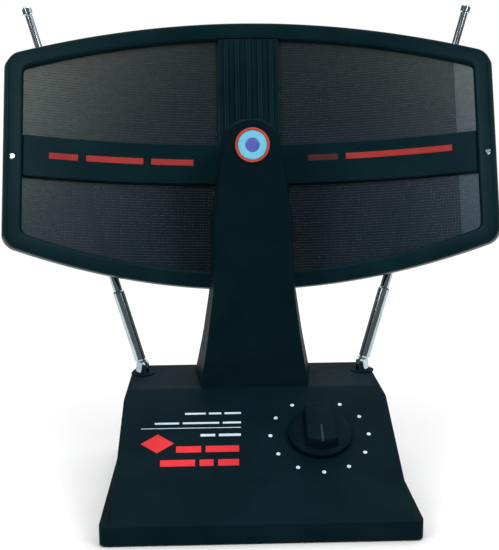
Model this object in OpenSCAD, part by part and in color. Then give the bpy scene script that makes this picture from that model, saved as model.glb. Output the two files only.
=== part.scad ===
// Set-top television antenna: a sloping console base with a rotary selector, a column that carries
// a curved reflector panel, and two telescopic ears that swivel and tilt on the deck behind it.
// Millimetres. +Z is up, the front faces -Y and the origin is the centre of the footprint box.

/* [Base] */
// Half width of the console at its foot
body_half_w = 93; // [88:0.5:96]
// Half width of the console at its shoulders
body_top_half_w = 91.5; // [86:0.5:94]
// Height of the deck above the surface that the feet stand on
deck_z = 68.2; // [64:0.2:74]
// Slope of the console face above the horizontal, in degrees
face_a = 26.7; // [25:0.1:29]
// Depth of the deck behind the console face
deck_d = 62; // [56:1:70]
// Half width of the skirt
skirt_half_w = 99.5; // [98:0.5:104]
// Height of the top of the skirt
skirt_z = 12.9; // [11:0.1:15]
// Wall of the plastic shells
wall = 2.4; // [2:0.1:3]

/* [Selector] */
// Distance of the selector to the right of the centre plane
dial_x = 41.7; // [36:0.1:46]
// Distance of the selector down the face from its top edge
dial_s = 49; // [46:0.1:56]
// Radius of the ring of position marks
dial_r = 33; // [30:0.5:35]
// Radius of the selector's skirt
knob_r = 21.5; // [18:0.5:24]
// Height of the selector
knob_h = 14; // [11:0.5:15]

/* [Column] */
// Half width of the column where it stands on the deck
col_foot_half_w = 37.8; // [34:0.2:40]
// Height of the badge above the deck
badge_z = 168.6; // [164:0.2:172]
// Radius of the column's round head
head_r = 17; // [15:0.5:19]
// Lean of the column's front face, in degrees
col_lean = 4; // [2:0.5:5]
// Sideways draft of the column, in degrees
col_draft = 6; // [3:0.5:7]

/* [Panel] */
// Half of the panel's straight width
panel_half_w = 172; // [168:1:176]
// Radius of the panel's curve
panel_r = 402; // [380:1:430]
// Backward lean of the panel, in degrees
panel_lean = 18; // [16:0.5:20]
// Height of the panel's centre above the deck
panel_z = 152.3; // [150:0.1:156]
// Distance of the panel's centre behind the top edge of the console face
panel_y = 62; // [60:0.5:66]
// Height of the panel's edge above its centre, at the middle
panel_up = 109.8; // [104:0.2:114]
// Depth of the panel's edge below its centre, at the middle
panel_down = 93.2; // [90:0.2:95]
// How much the upper edge drops at the ends
panel_up_sag = 37.9; // [30:0.1:42]
// How much the lower edge rises at the ends
panel_down_sag = 28.3; // [22:0.1:34]
// Width of the frame's border
border = 12.4; // [10:0.1:14]
// Half height of the cross band
band_half_h = 14.9; // [12:0.1:17]
// Half width of the ribbed strut
strut_half_w = 22.5; // [20:0.5:25]

/* [Ears] */
// Distance of each ear's pivot from the centre plane
ear_x = 81.5; // [78:0.1:82]
// Distance of each ear's pivot behind the top edge of the console face
ear_y = 37; // [34:0.5:40]
// Angle between each ear and the vertical, in degrees
ear_tilt = 20.7; // [20:0.1:24]
// Direction of the ear's lean, from sideways towards the back, in degrees
ear_turn = 32.6; // [32:0.1:40]
// Outer diameter of the base tube
tube_d = 6.6; // [6.4:0.1:6.8]
// Length of one telescopic section
section_l = 172; // [150:1:174]
// How far the second section stands out of the base tube
drawn_out = 86; // [60:1:90]

/* [Hidden] */
$fn = 64;
eps = 0.01;

// Deck, ledge and plan of the base
shoulder_drop = 3;          // the deck block stands this much above the shoulders
block_half_w = 88;
shoulder_r = 3.2;
block_inset = 0.03;         // the deck block stands this far inside the body's face, so the two never coincide
sharp_drop = 0.12;          // the sharp edge under the column's foot lies this far inside the faces
face_blend_r = 14;
back_blend_r = 4;
skirt_back = 68;
skirt_corner_r = 4;
skirt_bottom = 1.2;
skirt_front = -(deck_z - skirt_z) / tan(face_a) - 0.4;
back_y = deck_d + 1.5;
foot_r = 7;
foot_h = 4;
foot_x = 84;
foot_front_y = skirt_front + 18;
foot_back_y = skirt_back - 16;

// Ear direction and the far end of the rod, which set the middle of the footprint box
pivot_up = 5;
button_r = 3.5;
rod_start = 13;
base_tube_l = 176;
base_tube_end = rod_start + base_tube_l;
middle_end = base_tube_end + drawn_out;
button_l = 5.5;
tip_end = middle_end + 1 + button_l;
ear_dy = sin(ear_tilt) * sin(ear_turn);
rear_t = 10.5;
ear_back = ear_y + tip_end * ear_dy + button_r * sqrt(1 - ear_dy * ear_dy);
panel_back = panel_y + panel_up * sin(panel_lean) + rear_t * cos(panel_lean);
footprint_back = max(ear_back, panel_back);
y_shift = -(skirt_front + footprint_back) / 2;

// ---------------------------------------------------------------- helpers
module placed() translate([0, y_shift, 0]) children();

// Local X stays sideways, local Y runs up the slope, local Z is the face normal
module on_face(x, s) {
  translate([x, -s * cos(face_a), deck_z - s * sin(face_a)]) rotate([face_a, 0, 0]) children();
}

// Local Z runs up the panel, local Y is its backward normal at the middle
module on_panel() {
  translate([0, panel_y, deck_z + panel_z]) rotate([-panel_lean, 0, 0]) children();
}

// Local Z runs up the column's front face
module on_column_front(h) {
  translate([0, h * tan(col_lean), deck_z + h]) rotate([-col_lean, 0, 0]) children();
}

// Vertical through the ear's pivot, turned so that local X is the direction of lean
module on_ear(side) {
  translate([side * ear_x, ear_y, deck_z + pivot_up])
    rotate([0, 0, side > 0 ? ear_turn : 180 - ear_turn]) children();
}

// Local Z runs along the rod from its pivot
module on_rod(side) on_ear(side) rotate([0, ear_tilt, 0]) children();

module prism_x(pts, half) {
  translate([-half, 0, 0]) rotate([90, 0, 90]) linear_extrude(2 * half) polygon(pts);
}

module prism_y(pts, y0, y1) {
  translate([0, y1, 0]) rotate([90, 0, 0]) linear_extrude(y1 - y0) polygon(pts);
}

function arc(c, r, a0, a1, n) =
  [for (i = [0:n]) let (a = a0 + (a1 - a0) * i / n) [c[0] + r * cos(a), c[1] + r * sin(a)]];

function rounded_box(hx, y0, y1, r) = concat(
  arc([hx - r, y1 - r], r, 0, 90, 5),
  arc([-hx + r, y1 - r], r, 90, 180, 5),
  arc([-hx + r, y0 + r], r, 180, 270, 5),
  arc([hx - r, y0 + r], r, 270, 360, 5)
);

// A screw with a domed head; local Z runs out of the head
module screw(d, l, head_d, head_h) {
  difference() {
    union() {
      translate([0, 0, -l]) cylinder(d = d, h = l + eps);
      cylinder(d1 = head_d, d2 = head_d * 0.7, h = head_h, $fn = 32);
    }
    for (a = [0, 90])
      rotate([0, 0, a]) translate([-head_d * 0.3, -0.4, head_h * 0.4]) cube([head_d * 0.6, 0.8, head_h]);
  }
}

// ---------------------------------------------------------------- base
// Side view of the console, from the front foot round the deck; t moves it inwards
function console_side(top, t) =
  let (
    face_y = function (z) -(deck_z - z) / tan(face_a) + t / sin(face_a),
    r = max(face_blend_r - t, 1),
    edge = face_y(top - t) + r * tan(face_a / 2),
    rb = max(back_blend_r - t, 1),
    foot_y = face_y(skirt_z - t)
  )
  concat(
    [[foot_y, skirt_bottom]],
    [[foot_y, skirt_z - t]],
    arc([edge, top - t - r], r, 90 + face_a, 90, 6),
    arc([back_y - t - rb, top - t - rb], rb, 90, 0, 5),
    [[back_y - t, skirt_bottom]]
  );

// Front view of the console body with round shoulders
function console_front() =
  let (top = deck_z - shoulder_drop, x = body_top_half_w, r = shoulder_r)
  concat(
    [[body_half_w, skirt_bottom]],
    arc([x - r, top - r], r, 0, 90, 5),
    arc([-x + r, top - r], r, 90, 180, 5),
    [[-body_half_w, skirt_bottom]]
  );

module console_body() {
  intersection() {
    prism_x(console_side(deck_z - shoulder_drop, 0), skirt_half_w);
    prism_y(console_front(), skirt_front - 2, skirt_back);
  }
  intersection() {
    prism_x(console_side(deck_z + block_inset, block_inset), block_half_w);
    translate([-block_half_w, -40, deck_z - 20]) cube([2 * block_half_w, 120, 30]);
  }
  // the front edge of the deck stays sharp where the column's foot meets it
  prism_x([
    [-8, deck_z - 8 * tan(face_a) - sharp_drop], [0, deck_z - sharp_drop], [8, deck_z - sharp_drop],
    [8, deck_z - 8]
  ], col_foot_half_w);
}

module skirt_solid(grow, z0, z1) {
  pts = rounded_box(skirt_half_w + grow, skirt_front - grow, skirt_back + grow, skirt_corner_r + grow);
  translate([0, 0, z0]) linear_extrude(z1 - z0) polygon(pts);
}

plate_bosses = [[-70, -86], [70, -86], [-70, 46], [70, 46]];
board_bosses = [[-72, -72], [-12, -72], [-72, -24], [-12, -24]];
ballast_bosses = [[-34, 26], [34, 26]];
foot_bosses = [[-24, 22], [24, 22]];
boss_root = 0.6;            // bosses grow into the wall by this much
jack_x = -45;
jack_z = 30;
lead_y = 20;

module base_housing() {
  color([0.05, 0.09, 0.11]) placed() {
    difference() {
      union() {
        console_body();
        skirt_solid(0, skirt_bottom, skirt_z);
      }
      prism_x(console_side(deck_z - shoulder_drop, wall), body_top_half_w - wall);
      skirt_solid(-wall, skirt_bottom - 1, skirt_z - wall);
      for (side = [-1, 1])
        translate([side * ear_x, ear_y, deck_z - 12]) cylinder(r = bush_r + 0.02, h = 20);
      on_face(dial_x, dial_s) translate([0, 0, -10]) cylinder(r = 4.75, h = 20);
      translate([jack_x, back_y - 10, jack_z]) rotate([-90, 0, 0]) cylinder(r = 4.7, h = 20);
      translate([0, lead_y, deck_z - 12]) cylinder(r = 6, h = 20);
      for (p = foot_bosses) translate([p[0], p[1], deck_z - 12]) cylinder(r = 1.7, h = 20);
    }
    for (p = plate_bosses) housing_boss(p);
  }
}

// A hollow post that hangs from the shell down to the base plate and ends inside its wall
module housing_boss(p) {
  difference() {
    intersection() {
      translate([p[0], p[1], 4.1]) cylinder(r = 4, h = deck_z);
      prism_x(console_side(deck_z - shoulder_drop, wall - boss_root), body_top_half_w - 1);
    }
    translate([p[0], p[1], 3]) cylinder(r = 1.45, h = 10);
  }
}

module base_plate() {
  color([0.07, 0.08, 0.09]) placed() difference() {
    union() {
      skirt_solid(-wall - 0.3, 1.6, 4);
      for (p = board_bosses) translate([p[0], p[1], 3.9]) cylinder(r = 3.2, h = 6.1);
      for (p = ballast_bosses) translate([p[0], p[1], 3.9]) cylinder(r = 4, h = 2.1);
    }
    for (p = plate_bosses) {
      translate([p[0], p[1], 1]) cylinder(r = 1.7, h = 5);
      translate([p[0], p[1], 1]) cylinder(r = 3.4, h = 1.4);
    }
    for (p = board_bosses) translate([p[0], p[1], 5]) cylinder(r = 1.05, h = 6);
    for (p = ballast_bosses) translate([p[0], p[1], 1]) cylinder(r = 1.6, h = 6);
    for (x = [-foot_x, foot_x], y = [foot_front_y, foot_back_y])
      translate([x, y, 1]) cylinder(r = foot_r * 0.6 + 0.02, h = 4);
    for (i = [-3:3]) translate([i * 8 - 1.5, -60, 1]) cube([3, 34, 4]);
  }
}

module base_feet() {
  color([0.03, 0.03, 0.03]) placed()
    for (x = [-foot_x, foot_x], y = [foot_front_y, foot_back_y]) translate([x, y, 0]) {
      cylinder(r = foot_r, h = 1.58);
      cylinder(r = foot_r * 0.6, h = foot_h);
    }
}

module base_screws() {
  color("silver") placed()
    for (p = plate_bosses) translate([p[0], p[1], 2.38]) rotate([180, 0, 0]) screw(2.86, 8.5, 6, 1);
}

module ballast_weight() {
  color([0.35, 0.36, 0.38]) placed() difference() {
    translate([-48, 10, 6.02]) cube([96, 32, 11]);
    for (p = ballast_bosses) translate([p[0], p[1], 5]) cylinder(r = 1.25, h = 8);
  }
}

module ballast_screws() {
  color("silver") placed()
    for (p = ballast_bosses) translate([p[0], p[1], 1.58]) rotate([180, 0, 0]) screw(2.46, 9, 5, 1);
}

// ---------------------------------------------------------------- selector
knob_gap = 0.6;
knob_skirt_h = 3;
grip_half_w = 10.5;
shaft_r = 3;

module selector_knob() {
  color([0.04, 0.06, 0.07]) placed() on_face(dial_x, dial_s) difference() {
    union() {
      translate([0, 0, knob_gap]) cylinder(r = knob_r, h = knob_skirt_h);
      translate([0, 0, knob_gap + knob_skirt_h - eps])
        cylinder(r1 = knob_r - 1, r2 = knob_r - 3, h = 2, $fn = 96);
      intersection() {
        cylinder(r = knob_r - 2.5, h = knob_h);
        translate([-grip_half_w, -knob_r, knob_gap]) cube([2 * grip_half_w, 2 * knob_r, knob_h - knob_gap]);
      }
    }
    translate([0, 0, -1]) cylinder(r = shaft_r + 0.01, h = 10);
    translate([0, 0, -1]) cylinder(r = 8, h = 4.2);
    translate([-0.8, -knob_r, knob_h - 0.7]) cube([1.6, knob_r - 4, 2]);
  }
}

module knob_pointer() {
  color([0.75, 0.85, 0.9]) placed() on_face(dial_x, dial_s)
    intersection() {
      translate([-0.78, -knob_r, knob_h - 0.69]) cube([1.56, knob_r - 4.02, 0.74]);
      cylinder(r = knob_r - 2.52, h = 40);
    }
}

module switch_shaft() {
  color("silver") placed() on_face(dial_x, dial_s) translate([0, 0, -19]) cylinder(r = shaft_r, h = 27.9);
}

module switch_rotor() {
  color([0.75, 0.72, 0.6]) placed() on_face(dial_x, dial_s) translate([0, 0, -17]) difference() {
    union() {
      cylinder(r = 7, h = 2.5);
      translate([-1.5, -10, 0]) cube([3, 10, 2.5]);
    }
    translate([0, 0, -1]) cylinder(r = shaft_r + 0.01, h = 5);
  }
}

// Threaded neck, detent housing and wafer ring with its contacts
module switch_body() {
  color([0.55, 0.5, 0.42]) placed() on_face(dial_x, dial_s) difference() {
    union() {
      translate([0, 0, -wall - 6]) cylinder(r = 4.7, h = wall + 6 + 2);
      translate([0, 0, -wall - 0.05 - 10]) cylinder(r = 14, h = 10);
      difference() {
        translate([0, 0, -18]) cylinder(r = 14, h = 6);
        translate([0, 0, -18.1]) cylinder(r = 10.8, h = 6.2);
      }
      for (i = [1:12]) rotate([0, 0, 30 * i]) translate([13.5, -0.75, -17]) cube([4, 1.5, 0.6]);
    }
    translate([0, 0, -20]) cylinder(r = shaft_r + 0.05, h = 30);
  }
}

module switch_nut() {
  color("silver") placed() on_face(dial_x, dial_s) translate([0, 0, 0.02]) difference() {
    cylinder(r = 6.6, h = 1.9, $fn = 6);
    translate([0, 0, -1]) cylinder(r = 4.71, h = 5);
  }
}

// Eleven printed dots; the place of the twelfth, at the top, is bare
module dial_marks() {
  color([0.8, 0.9, 1.0]) placed() on_face(dial_x, dial_s)
    for (hour = [1:11]) rotate([0, 0, -30 * hour]) translate([0, dial_r, 0.01]) cylinder(r = 1.35, h = 0.15);
}

// ---------------------------------------------------------------- electronics
board_z = 10.02;

module circuit_board() {
  color([0.6, 0.45, 0.2]) placed() difference() {
    translate([-76, -76, board_z]) cube([68, 56, 1.6]);
    for (p = board_bosses) translate([p[0], p[1], 5]) cylinder(r = 1.6, h = 10);
  }
}

module board_screws() {
  color("silver") placed()
    for (p = board_bosses) translate([p[0], p[1], board_z + 1.62]) screw(2.08, 6, 4.6, 1.2);
}

module tuning_coils() {
  color([0.75, 0.4, 0.2]) placed()
    for (i = [0:2], k = [0:5]) translate([-62 + 15 * i, -58 + 1.6 * k, board_z + 6.2])
      rotate([-90, 0, 0]) rotate_extrude() translate([3.6, 0]) circle(r = 0.6, $fn = 16);
}

module capacitors() {
  color([0.8, 0.55, 0.2]) placed()
    for (p = [[-62, -34], [-50, -34], [-38, -34], [-26, -40], [-20, -60]])
      translate([p[0], p[1], board_z + 1.62]) {
        translate([0, 1, 4.2]) rotate([90, 0, 0]) cylinder(r = 3, h = 2);
        translate([-1.6, -0.3, 0]) cube([0.6, 0.6, 3]);
        translate([1, -0.3, 0]) cube([0.6, 0.6, 3]);
      }
}

module balun_core() {
  color([0.2, 0.2, 0.22]) placed() translate([-24, -54, board_z + 1.62]) difference() {
    cube([13, 10, 7.5]);
    for (x = [3.6, 9.4]) translate([x, -1, 3.75]) rotate([-90, 0, 0]) cylinder(r = 1.8, h = 12);
  }
}

jack_thread_r = 4.76;
jack_free_l = 8;

module coax_jack() {
  color([0.8, 0.78, 0.7]) placed() translate([jack_x, back_y, jack_z]) rotate([-90, 0, 0]) difference() {
    union() {
      translate([0, 0, -wall - 0.02 - 3]) cylinder(r = 7, h = 3);
      translate([0, 0, -wall - 8]) cylinder(r = 4.6, h = wall + 10.2);
      translate([0, 0, 2.2]) cylinder(r = jack_thread_r, h = jack_free_l);
    }
    translate([0, 0, 1]) cylinder(r = 2.6, h = 20);
  }
}

module jack_nut() {
  color("silver") placed() translate([jack_x, back_y + 0.02, jack_z]) rotate([-90, 0, 0]) difference() {
    cylinder(r = 6.6, h = 2.1, $fn = 6);
    translate([0, 0, -1]) cylinder(r = 4.61, h = 5);
  }
}

lead_top = 222;

module feeder_lead() {
  color([0.45, 0.3, 0.2]) placed() translate([-2.5, lead_y - 0.6, board_z + 12]) cube([5, 1.2, lead_top - 22]);
}

module uhf_coupler() {
  color([0.8, 0.65, 0.3]) placed()
    translate([-11, lead_y - 0.4, board_z + 12 + lead_top - 22 + 0.02]) cube([22, 0.8, 9]);
}

// ---------------------------------------------------------------- column
// Half outline of the column above the deck: a straight taper, a parallel neck and a round head
function column_half() = concat(
  [[col_foot_half_w, 0], [32.3, 33], [27.5, 68], [25.9, 86], [25.5, 112]],
  arc([5.5, 116], 20, 4, 24, 4),
  [[22.3, 140]],
  arc([0, badge_z], head_r, 10, 90, 8)
);

module column_outline(t) {
  half = column_half();
  n = len(half) - 1;
  pts = concat(
    [for (p = half) [p[0] - t, deck_z + p[1] - (p[1] > badge_z ? t * (p[1] - badge_z) / head_r : 0)]],
    [for (i = [n - 1:-1:0]) let (p = half[i])
      [t - p[0], deck_z + p[1] - (p[1] > badge_z ? t * (p[1] - badge_z) / head_r : 0)]]
  );
  for (s = [-1, 1]) intersection() {
    rotate([0, 0, -s * col_draft]) prism_y(pts, -20, 90);
    translate([s > 0 ? 0 : -60, -20, deck_z - 1]) cube([60, 110, 200]);
  }
}

col_foot_back = 45;
col_waist_h = 61;
col_waist_back = 30.5;
col_top_h = badge_z + head_r;

function column_side(t) = [
  [t, deck_z],
  [col_top_h * tan(col_lean) + t, deck_z + col_top_h + 1],
  [col_waist_back + (col_top_h - col_waist_h) * tan(col_lean) - t, deck_z + col_top_h + 1],
  [col_waist_back - t, deck_z + col_waist_h],
  [36.5 - t, deck_z + 26],
  [col_foot_back - t, deck_z]
];

split_y = 16;

module column_shell() {
  difference() {
    intersection() {
      column_outline(0);
      prism_x(column_side(0), 70);
    }
    intersection() {
      column_outline(wall);
      translate([0, 0, -eps]) prism_x(column_side(wall), 70);
    }
  }
}

module column_half_space(front) {
  lean = col_top_h * tan(col_lean);
  y = front ? -60 : 100;
  prism_x([[y, deck_z - 1], [split_y, deck_z - 1], [split_y + lean, deck_z + col_top_h + 2],
    [y, deck_z + col_top_h + 2]], 80);
}

column_boss_x = 13;
column_boss_h = [42, 88, 134];
foot_boss_top = 9;

module at_column_bosses() {
  for (x = [-column_boss_x, column_boss_x], h = column_boss_h)
    on_column_front(h) rotate([-90, 0, 0]) translate([x, 0, 0]) {
      $back = h < col_waist_h ? 34 : col_waist_back;
      children();
    }
}

module column_boss(front) {
  if (front)
    translate([0, 0, wall - 0.5]) difference() {
      cylinder(r = 3.6, h = split_y - wall);
      translate([0, 0, 4]) cylinder(r = 1.25, h = 30);
    }
  else
    translate([0, 0, split_y + 0.3]) cylinder(r = 3.6, h = $back - split_y - wall);
}

module column_front() {
  color([0.05, 0.09, 0.11]) placed() difference() {
    union() {
      intersection() {
        column_shell();
        column_half_space(true);
      }
      at_column_bosses() column_boss(true);
    }
    translate([-4, lead_y - 2.5, deck_z]) cube([8, 5, lead_top + 16 - deck_z]);
    badge_seat();
  }
}

module column_back() {
  color([0.05, 0.09, 0.11]) placed() difference() {
    union() {
      intersection() {
        column_shell();
        translate([0, 0.05, 0]) column_half_space(false);
      }
      at_column_bosses() column_boss(false);
      // floor of the rear shell, with the posts that the foot screws enter
      intersection() {
        column_outline(wall / 2);
        prism_x(column_side(wall / 2), 70);
        translate([-60, split_y + 0.4, deck_z]) cube([120, 60, wall]);
      }
      for (p = foot_bosses) translate([p[0], p[1], deck_z + 0.5]) cylinder(r = 3.6, h = foot_boss_top - 0.5);
    }
    at_column_bosses() {
      translate([0, 0, 10]) cylinder(r = 1.5, h = 60);
      translate([0, 0, $back - 2.5]) cylinder(r = 3, h = 20);
    }
    for (p = foot_bosses) translate([p[0], p[1], deck_z - 1]) cylinder(r = 1.42, h = foot_boss_top - 0.5);
    translate([-4, lead_y - 2.5, deck_z]) cube([8, 5, lead_top + 16 - deck_z]);
    on_panel() rotate([90, 0, 0]) translate([0, 0, -5]) cylinder(r = 2.6, h = 60);
  }
}

module column_screws() {
  color("silver") placed()
    at_column_bosses() translate([0, 0, $back - 2.48]) screw(2.46, 14, 5, 1.4);
}

module foot_screws() {
  color("silver") placed()
    for (p = foot_bosses) translate([p[0], p[1], deck_z - shoulder_drop - wall - 0.02])
      rotate([180, 0, 0]) screw(2.8, 11.5, 5.5, 1.2);
}

// ---------------------------------------------------------------- badge
badge_r = 12;
badge_disc_r = 10.2;
badge_centre_r = 4.8;
badge_out = 2.2;

module badge_seat() {
  on_column_front(badge_z) rotate([90, 0, 0]) translate([0, 0, -1.2]) cylinder(r = badge_r + 0.02, h = 4);
}

module badge_rim() {
  color([0.85, 0.3, 0.2]) placed() on_column_front(badge_z) rotate([90, 0, 0]) translate([0, 0, -1.18])
    difference() {
      cylinder(r = badge_r, h = 1.18 + badge_out);
      translate([0, 0, 1.2]) cylinder(r = badge_disc_r, h = 10);
    }
}

module badge_disc() {
  color([0.45, 0.82, 0.95]) placed() on_column_front(badge_z) rotate([90, 0, 0]) translate([0, 0, 0.04])
    difference() {
      cylinder(r = badge_disc_r - 0.02, h = badge_out - 0.5);
      translate([0, 0, 0.6]) cylinder(r = badge_centre_r, h = 10);
    }
}

module badge_centre() {
  color([0.36, 0.38, 0.72]) placed() on_column_front(badge_z) rotate([90, 0, 0]) translate([0, 0, 0.66])
    cylinder(r = badge_centre_r - 0.02, h = badge_out - 0.9);
}

// ---------------------------------------------------------------- panel
bezel_t = 5;
mesh_gap = 0.05;
mesh_t = 0.7;
mesh_inset = 8.5;
rim_r = 8;
end_phi = asin(panel_half_w / panel_r);
up_r = (panel_half_w * panel_half_w + panel_up_sag * panel_up_sag) / (2 * panel_up_sag);
down_r = (panel_half_w * panel_half_w + panel_down_sag * panel_down_sag) / (2 * panel_down_sag);

// A slice of the panel's curve between two depths behind its front face
module curved_slab(t0, t1) {
  translate([0, -panel_r, -120]) difference() {
    cylinder(r = panel_r + t1, h = 250, $fn = 360);
    translate([0, 0, -1]) cylinder(r = panel_r + t0, h = 252, $fn = 360);
  }
}

// Everything between the two end planes, which run through the curve's axis
module end_wedge(inset) {
  phi = end_phi - inset / panel_r * 180 / PI;
  l = (panel_r + 30) / cos(phi);
  translate([0, -panel_r, -120]) linear_extrude(250)
    polygon([[0, 0], [l * sin(phi), l * cos(phi)], [-l * sin(phi), l * cos(phi)]]);
}

function panel_arcs(t, reach) =
  let (a = acos(reach / (up_r - t)), b = acos(reach / (down_r - t)))
  concat(
    arc([0, panel_up - up_r], up_r - t, a, 180 - a, 28),
    arc([0, down_r - panel_down], down_r - t, 180 + b, 360 - b, 28)
  );

// Region of the panel inside its outline, moved inwards by t
module panel_region(t) {
  intersection() {
    prism_y(panel_arcs(t, 196), -80, 30);
    end_wedge(t);
  }
}

// A place on the panel: sideways angle, height and depth; local Y is the surface normal
module on_curve(phi, h, t) {
  translate([(panel_r + t) * sin(phi), (panel_r + t) * cos(phi) - panel_r, h]) rotate([0, 0, -phi]) children();
}

// Cuts the four corners of the panel to a radius
module corner_cutters() {
  up_h = panel_up - panel_up_sag;
  down_h = panel_down_sag - panel_down;
  for (s = [-1, 1], c = [[up_h, 1, asin(panel_half_w / up_r)], [down_h, -1, asin(panel_half_w / down_r)]])
    on_curve(s * end_phi, c[0], 0) rotate([90, 0, 0]) translate([0, 0, -20]) scale_xy(s, c[1]) difference() {
      translate([-rim_r * (1 - sin(c[2])), -rim_r * (1 / cos(c[2]) - tan(c[2])), 0]) cube([rim_r, rim_r * 2, 40]);
      translate([-rim_r, -rim_r * (1 / cos(c[2]) - tan(c[2])), -1]) cylinder(r = rim_r, h = 42);
    }
}

module scale_xy(x, y) {
  if (x > 0 && y > 0) children();
  else if (x > 0) mirror([0, 1, 0]) children();
  else if (y > 0) mirror([1, 0, 0]) children();
  else rotate([0, 0, 180]) children();
}

// Heads sit on the rear frame near its ends and along its upper and lower borders
module at_panel_screws(t) {
  inset = border / 2 - 1;
  for (s = [-1, 1]) {
    for (h = [42, -34]) on_curve(s * (end_phi - inset / panel_r * 180 / PI), h, t) children();
    for (x = [112, 42]) {
      phi = asin(x / panel_r);
      on_curve(s * phi, panel_up - up_r + sqrt(pow(up_r - inset, 2) - x * x), t) children();
      on_curve(s * phi, down_r - panel_down - sqrt(pow(down_r - inset, 2) - x * x), t) children();
    }
  }
}

end_rivet_inset = 4.7;
end_rivet_h = -2;
end_rivet_r = 1.3;

// One decorative rivet at the middle of each end of the bezel; local Z runs out of its front face
module at_end_rivets() {
  for (s = [-1, 1])
    on_curve(s * (end_phi - end_rivet_inset / panel_r * 180 / PI), end_rivet_h, 0) rotate([90, 0, 0]) children();
}

module end_rivets() {
  color("silver") placed() on_panel() at_end_rivets() {
    translate([0, 0, -3.4]) cylinder(r = end_rivet_r - eps, h = 3.42);
    translate([0, 0, 0.02]) cylinder(r1 = 2.3, r2 = 1.5, h = 0.9);
  }
}

module panel_bezel() {
  color([0.06, 0.13, 0.15]) placed() on_panel() difference() {
    intersection() {
      curved_slab(0, bezel_t);
      panel_region(0);
    }
    panel_region(border);
    corner_cutters();
    at_panel_screws(0) translate([0, 1.6, 0]) rotate([-90, 0, 0]) cylinder(r = 1.21, h = 10);
    at_end_rivets() translate([0, 0, -3.5]) cylinder(r = end_rivet_r, h = 6);
  }
}

module panel_rear_frame() {
  color([0.06, 0.12, 0.14]) placed() on_panel() difference() {
    intersection() {
      curved_slab(bezel_t + mesh_gap, rear_t);
      panel_region(0);
    }
    panel_region(border - 1);
    intersection() {
      curved_slab(bezel_t - 1, bezel_t + 2 * mesh_gap + mesh_t);
      panel_region(mesh_inset - 0.3);
    }
    corner_cutters();
    at_panel_screws(0) translate([0, 1, 0]) rotate([-90, 0, 0]) cylinder(r = 1.4, h = 20);
  }
}

module reflector_mesh() {
  color([0.32, 0.31, 0.3]) placed() on_panel() difference() {
    intersection() {
      curved_slab(bezel_t + mesh_gap, bezel_t + mesh_gap + mesh_t);
      panel_region(mesh_inset);
    }
    rotate([-90, 0, 0]) cylinder(r = 3, h = 40);
  }
}

module cross_band(side) {
  color([0.06, 0.13, 0.16]) placed() on_panel() intersection() {
    curved_slab(0.8, 4.8);
    end_wedge(border + 0.05);
    translate([side > 0 ? strut_half_w + 0.05 : -200, -80, -band_half_h])
      cube([200 - strut_half_w - 0.05, 120, 2 * band_half_h]);
  }
}

rib_pitch = 8.45;
rib_w = 3.4;
rib_foot_h = 20;

module centre_strut() {
  color([0.05, 0.1, 0.12]) placed() on_panel() difference() {
    union() {
      intersection() {
        curved_slab(0.6, 4.9);
        panel_region(border + 0.05);
        translate([-strut_half_w, -60, -130]) cube([2 * strut_half_w, 80, 260]);
      }
      for (i = [-2:2]) intersection() {
        curved_slab(-1.2, 0.8);
        panel_region(border + 1);
        translate([i * rib_pitch - rib_w / 2, -60, rib_foot_h]) cube([rib_w, 80, 130]);
      }
    }
    rotate([-90, 0, 0]) translate([0, 0, -20]) cylinder(r = 2.52, h = 40);
  }
}

module panel_screws() {
  color("silver") placed() on_panel()
    at_panel_screws(rear_t + 0.02) rotate([-90, 0, 0]) screw(2.4, 8.4, 4.6, 1.3);
}

neck_r = 15;

module hub_neck() {
  color([0.05, 0.09, 0.11]) placed() difference() {
    intersection() {
      on_panel() rotate([90, 0, 0]) translate([0, 0, 0.05]) cylinder(r = neck_r, h = 44);
      prism_x([
        [col_waist_back + 0.05, deck_z + col_waist_h],
        [col_waist_back + 0.05 + 140 * tan(col_lean), deck_z + col_waist_h + 140],
        [140, deck_z + col_waist_h + 140],
        [140, deck_z + col_waist_h]
      ], 40);
      on_panel() translate([-20, -60, -60]) cube([40, 60.5, 120]);
    }
    on_panel() curved_slab(0.55, 30);
    on_panel() rotate([90, 0, 0]) translate([0, 0, -5]) cylinder(r = 2.6, h = 60);
  }
}

module hub_bolt() {
  color("silver") placed() on_panel() rotate([-90, 0, 0]) {
    translate([0, 0, -33]) cylinder(r = 2.5, h = 33 + 8);
    translate([0, 0, bezel_t + 0.9]) cylinder(r = 7, h = 1.4);
    translate([0, 0, bezel_t + 2.2]) cylinder(r = 4.6, h = 3.6, $fn = 6);
    translate([0, 0, -33]) cylinder(r = 4.4, h = 3);
  }
}

// ---------------------------------------------------------------- ears
bush_r = 6.5;
flange_r = 8.5;
flange_h = 0.8;
stud_r = 3;
fork_r = 4.75;
fork_top_r = 4.6;
slot_w = 3.1;
tang_w = 3;
pin_r = 1;
sleeve_r = 4.15;
sleeve_start = 5.6;
sleeve_end = 59;
fit = 0.05;
tube_r = tube_d / 2;
middle_r = 2.6;
upper_r = 2;
tip_r = 1.4;
lip_l = 3;
slide_bush_l = 6;

module bush(side) {
  color([0.04, 0.05, 0.06]) placed() translate([side * ear_x, ear_y, deck_z]) difference() {
    union() {
      translate([0, 0, -7.4]) cylinder(r = bush_r, h = 7.5);
      translate([0, 0, 0.02]) cylinder(r = flange_r, h = flange_h);
    }
    translate([0, 0, -20]) cylinder(r = stud_r + fit, h = 40);
  }
}

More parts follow.
